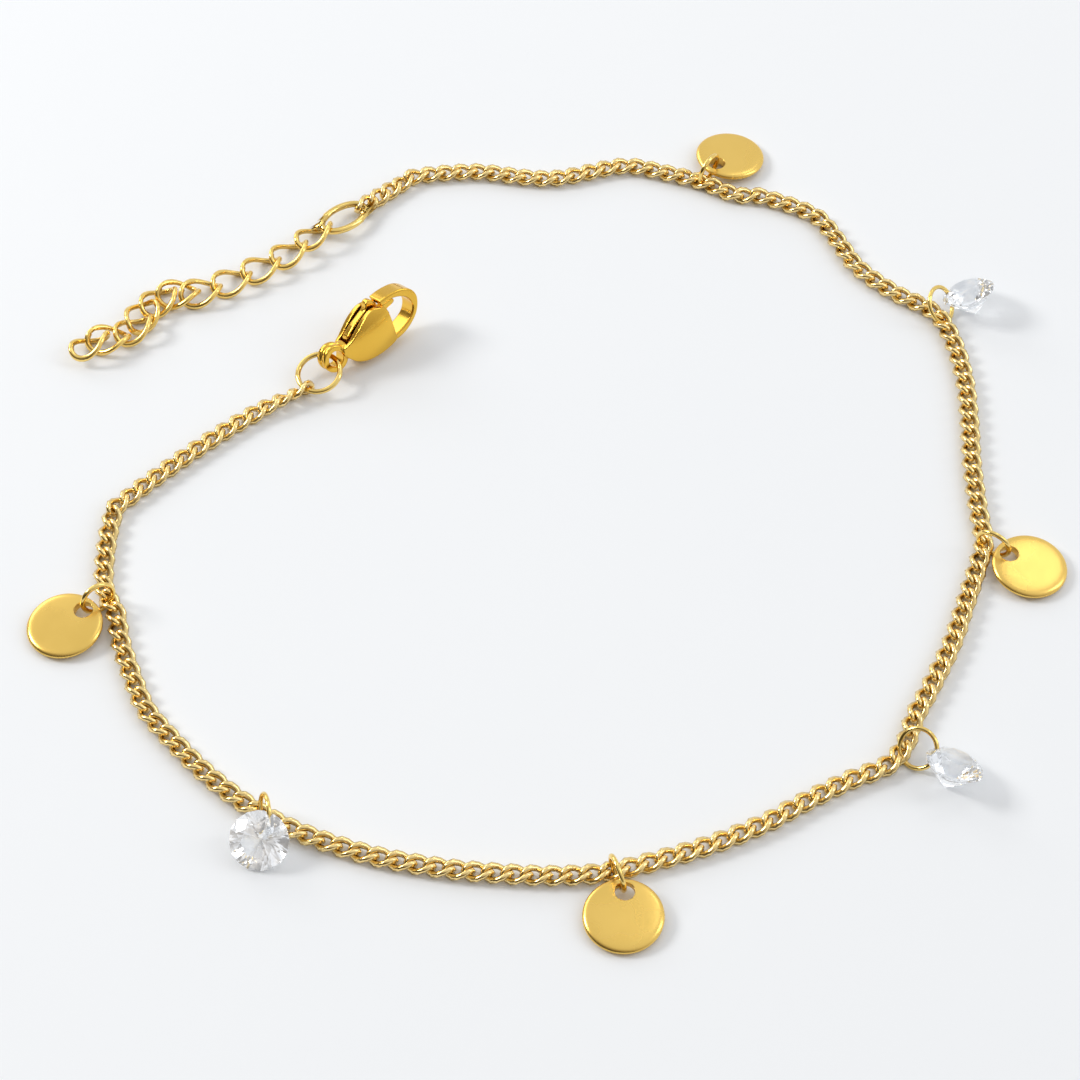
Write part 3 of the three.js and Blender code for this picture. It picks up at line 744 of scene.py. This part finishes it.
# Closes an outline and gives it its thickness, half of it on each side of the clasp's plane
def drawnPlate(points, thickness):
    low = Vector((0, 0, -thickness / 2))
    plate = drawnLine([point + low for point in points])
    bpy.ops.mesh.edge_face_add()
    bpy.ops.mesh.extrude_region_move(TRANSFORM_OT_translate={"value": (0, 0, thickness)})
    bpy.ops.mesh.select_all(action="SELECT")
    bpy.ops.mesh.normals_make_consistent(inside=False)
    editDone()
    return plate


def barAcross(diameter, length, place, around=clasp["barAround"]):
    clearSelection()
    bpy.ops.mesh.primitive_cylinder_add(vertices=around, radius=diameter / 2, depth=length, location=place)
    return bpy.context.object


def softEdges(piece, width):
    applyModifier(
        piece, "softEdge", "BEVEL", width=width, segments=clasp["edgeSteps"], limit_method="ANGLE",
        angle_limit=math.radians(clasp["edgeFrom"]),
    )


# Fuses a piece into one cast skin and polishes its creases soft
def castFinish(piece, grain):
    applyModifier(piece, "cast", "REMESH", mode="VOXEL", voxel_size=grain, adaptivity=0)
    strength = clasp["polishStrength"]
    applyModifier(piece, "polish", "SMOOTH", factor=strength, iterations=clasp["polishRounds"])
    smoothAll(piece)


# The clasp's place, worked out from its lever's hinge, the one joint of the frame
def claspPlace():
    joint = frame["joints"][0]
    turn = math.radians(clasp["heading"])
    up = math.radians(clasp["noseAngle"])
    along = Vector((math.cos(turn) * math.cos(up), math.sin(turn) * math.cos(up), math.sin(up)))
    across = Vector(joint["axis"]).normalized()
    rise = across.cross(along)
    pivot = claspPoint(*clasp["pivot"])
    eye = Vector(joint["pos_m"]) - (along * pivot.x + rise * pivot.y) * mm
    return basis(along, rise, across, eye)


def makeBodyPlate():
    steps = clasp["bodySteps"]
    outline = curveThrough(claspPoints("bodyBack"), steps) + curveThrough(claspPoints("bodyTop"), steps)
    body = drawnPlate(outline, clasp["thickness"])
    clearSelection()
    bpy.ops.mesh.primitive_uv_sphere_add(
        segments=clasp["domeAround"], ring_count=clasp["domeRings"], radius=1,
        location=(clasp["domeMiddle"] * clasp["noseReach"], 0, 0),
        scale=(
            clasp["domeReach"][0] * clasp["noseReach"], clasp["domeReach"][1] * clasp["halfWidth"],
            clasp["thickness"] / 2,
        ),
    )
    cut(body, bpy.context.object, "INTERSECT")
    return body


# The tail's eye has two rounded walls with a groove between them
def addEye(body):
    lobe = (clasp["eyeThickness"] - clasp["eyeGroove"]) / 2
    for side in (-1, 1):
        middle = side * (clasp["eyeThickness"] - lobe) / 2
        wall = barAcross(clasp["eye"], lobe, (0, 0, middle), clasp["eyeAround"])
        softEdges(wall, clasp["lobeEdge"])
        cut(body, wall, "UNION")
    cut(body, barAcross(clasp["eyeCore"], clasp["eyeThickness"] - clasp["coreInset"], (0, 0, 0)), "UNION")
    cut(body, barAcross(clasp["eyeHole"], clasp["eyeCutter"], (0, 0, 0)))


def makeHook():
    steps = clasp["hookSteps"]
    outline = curveThrough(claspPoints("hookOuter"), steps) + curveThrough(claspPoints("hookInner"), steps)
    hook = drawnPlate(outline, clasp["hookWidth"])
    softEdges(hook, clasp["hookEdge"])
    return hook


def makeClaspBody():
    body = makeBodyPlate()
    cut(body, turned(clasp["collar"], clasp["collarAround"]), "UNION")
    addEye(body)
    cut(body, drawnPlate(claspPoints("channelOutline"), clasp["channel"]))
    cut(body, makeHook(), "UNION")
    pinLength = clasp["pinShare"] * clasp["thickness"]
    cut(body, barAcross(clasp["pin"], pinLength, claspPoint(*clasp["pivot"])), "UNION")
    castFinish(body, clasp["grain"])
    return body


def makeClaspLever():
    points = claspPoints("leverOutline")
    lever = drawnPlate(curveThrough(points + points[:1], clasp["leverSteps"])[:-1], clasp["lever"])
    softEdges(lever, clasp["leverEdge"])
    pivot = claspPoint(*clasp["pivot"])
    bore = clasp["pin"] + 2 * clasp["pinRoom"]
    cut(lever, barAcross(bore + 2 * clasp["pinWall"], clasp["lever"], pivot), "UNION")
    cut(lever, barAcross(bore, clasp["boreCutter"], pivot))
    castFinish(lever, clasp["leverGrain"] * clasp["grain"])
    return lever


def makeClasp():
    body = makeClaspBody()
    piece = settle(body, "lobster_clasp_body", claspPlace(), gold["claspGold"], "anklet", "clasp_body")
    lever = makeClaspLever()
    piece = settle(lever, "lobster_clasp_lever", claspPlace(), gold["claspGold"], "lever", "clasp_lever")


makeClasp()
print("clasp done")
